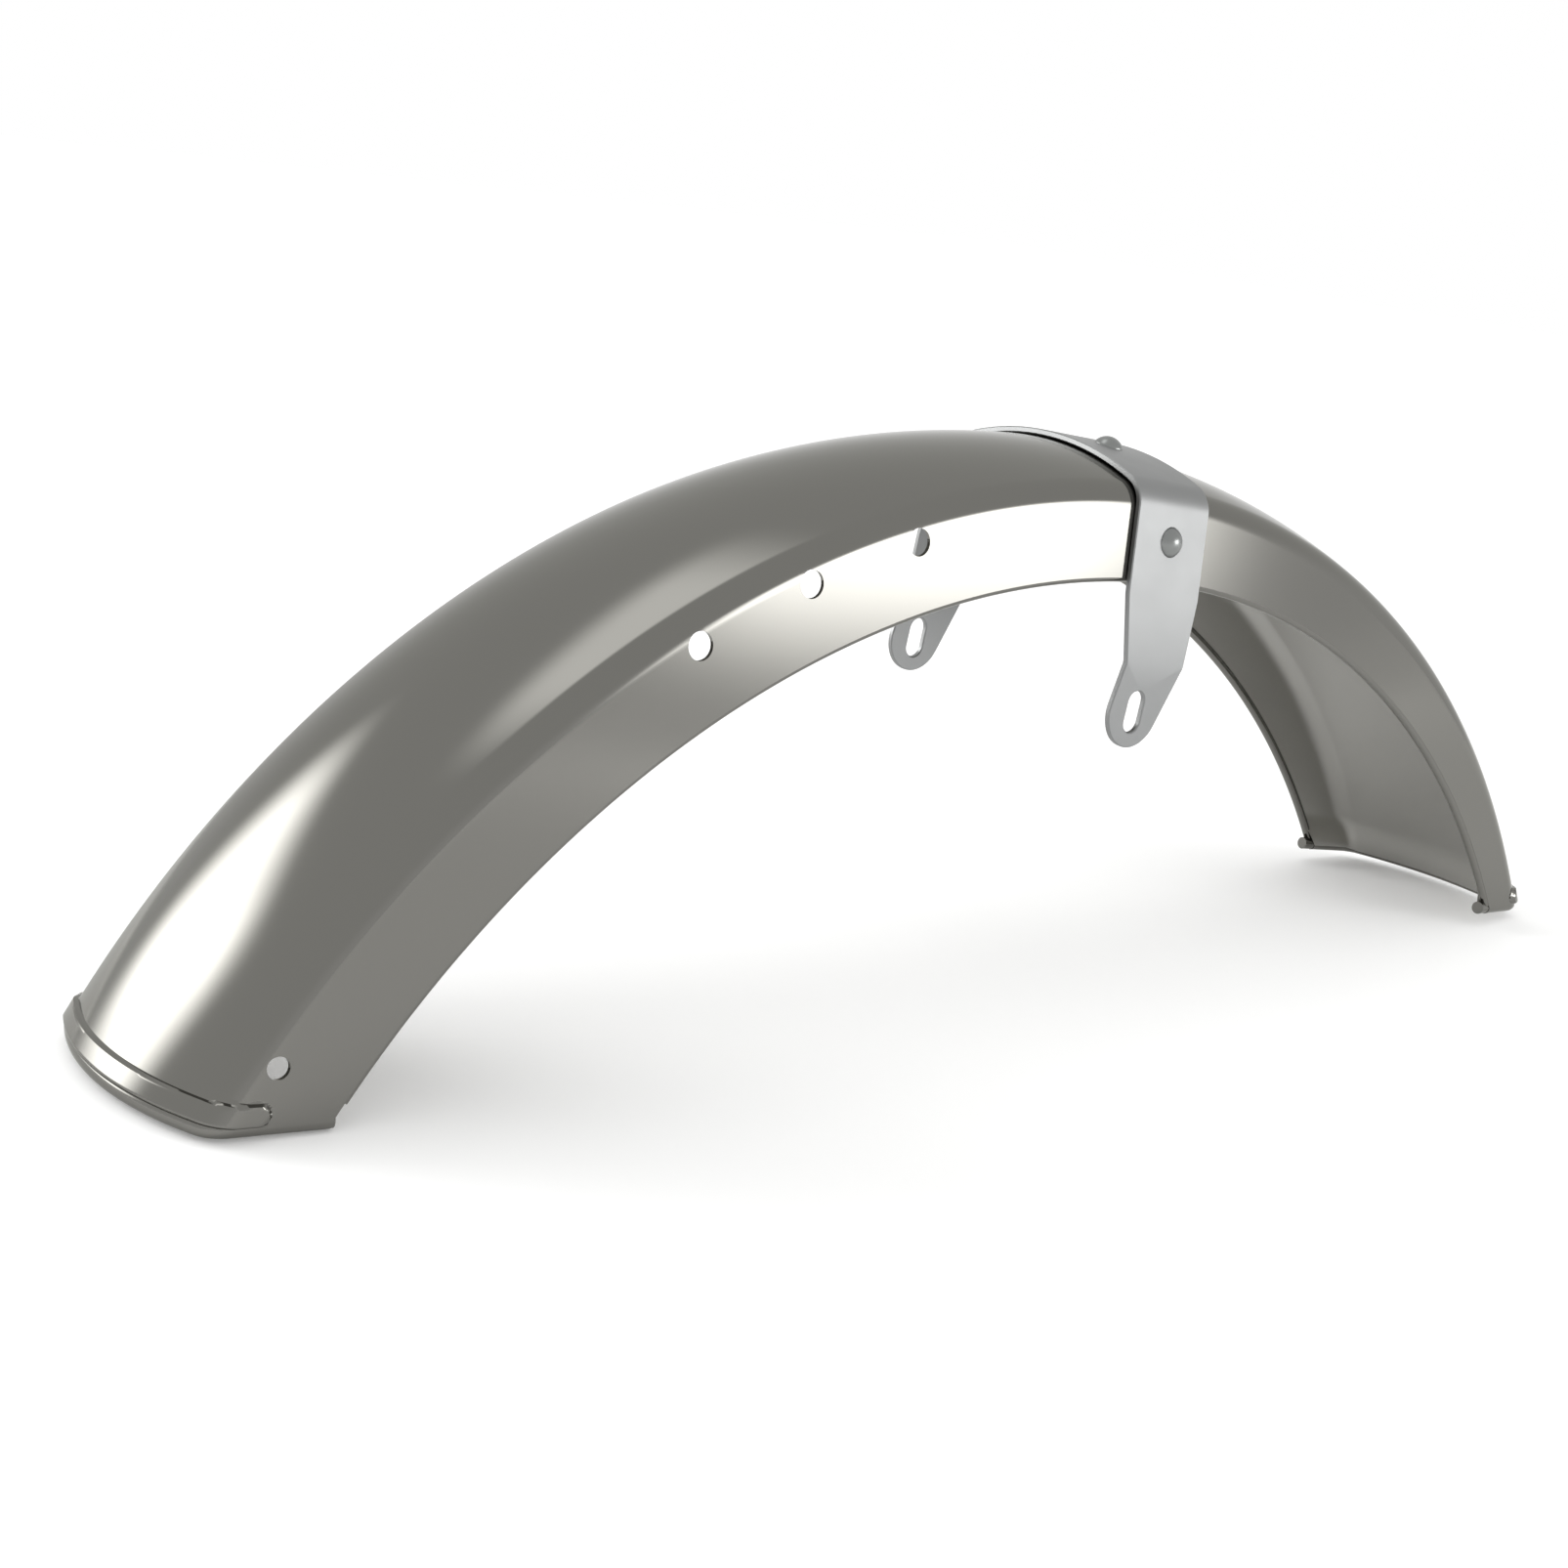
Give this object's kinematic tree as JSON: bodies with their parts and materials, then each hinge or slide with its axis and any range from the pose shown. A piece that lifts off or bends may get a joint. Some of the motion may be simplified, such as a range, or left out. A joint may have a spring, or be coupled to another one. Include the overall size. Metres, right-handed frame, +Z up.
{
  "type": "motorcycle front mudguard",
  "caption": "Arched polished steel blade with rolled edges and beaded ends, and a riveted strap bracket with slotted tabs, that keeps spray off a motorcycle front wheel.",
  "frame": {"origin": "on the floor under the middle of the arch, midway between the two ends and the two walls", "axes": "+X toward the free end, away from the stay holes; +Y along the wheel axis; +Z up, out of the crown"},
  "size_m": [0.6111, 0.1062, 0.1852],
  "materials": {
    "blade": "polished",
    "bracket": "bright zinc plated",
    "rivets": "zinc plated"
  },
  "bodies": {
    "root": {"mudguard_blade": "blade", "fork_bracket": "bracket", "bracket_rivets": "rivets"}
  },
  "joints": []
}
